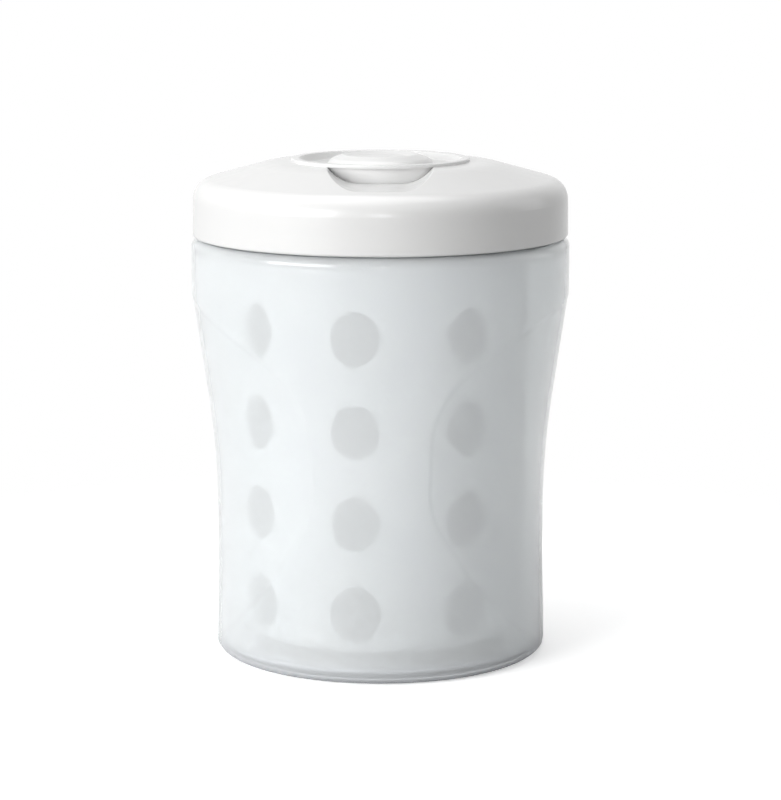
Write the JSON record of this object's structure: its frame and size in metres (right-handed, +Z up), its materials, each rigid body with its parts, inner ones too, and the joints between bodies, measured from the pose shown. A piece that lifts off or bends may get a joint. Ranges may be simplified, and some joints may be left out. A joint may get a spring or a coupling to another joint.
{
  "type": "bottle steriliser",
  "caption": "Microwave steam steriliser for one feeding bottle: waisted frosted tub, holed basket, teat tray and bayonet lid with a flip-up vent cap.",
  "frame": {"origin": "centre of the tub's foot, on the surface that it stands on", "axes": "+Z up through the lid; -Y is the front, where the finger notch in the lid is; +X is to the right"},
  "size_m": [0.126, 0.126, 0.1672],
  "materials": {
    "frosted_plastic": "translucent frosted polypropylene",
    "basket_plastic": "satin white polypropylene",
    "lid_plastic": "glossy white polypropylene",
    "silicone": "clear milky silicone",
    "pin_plastic": "natural acetal"
  },
  "bodies": {
    "tub": {"tub": "frosted_plastic"},
    "basket": {"bottle_basket": "basket_plastic"},
    "tray": {"teat_tray": "basket_plastic"},
    "seal": {"lid_seal": "silicone"},
    "lid": {"lid_shell": "lid_plastic", "vent_hinge_pin": "pin_plastic"},
    "vent": {"vent_cap": "lid_plastic", "vent_plug": "silicone"}
  },
  "joints": [
    {"name": "lid_lift", "type": "slide", "parent": "tub", "child": "seal", "axis": [0, 0, 1], "range_m": [0, 0.36]},
    {"name": "lid_turn", "type": "hinge", "parent": "seal", "child": "lid", "pos_m": [0, 0, 0.155], "axis": [0, 0, 1], "range_deg": [-25, 0]},
    {"name": "vent_flip", "type": "hinge", "parent": "lid", "child": "vent", "pos_m": [0, 0.0302, 0.1632], "axis": [-1, 0, 0], "range_deg": [0, 100]},
    {"name": "basket_lift", "type": "slide", "parent": "tub", "child": "basket", "axis": [0, 0, 1], "range_m": [0, 0.165]},
    {"name": "tray_lift", "type": "slide", "parent": "basket", "child": "tray", "axis": [0, 0, 1], "range_m": [0, 0.092]}
  ],
  "couplings": [
    {"joint": "basket_lift", "follows": "lid_lift", "ratio": 0.45},
    {"joint": "tray_lift", "follows": "lid_lift", "ratio": 0.25}
  ]
}
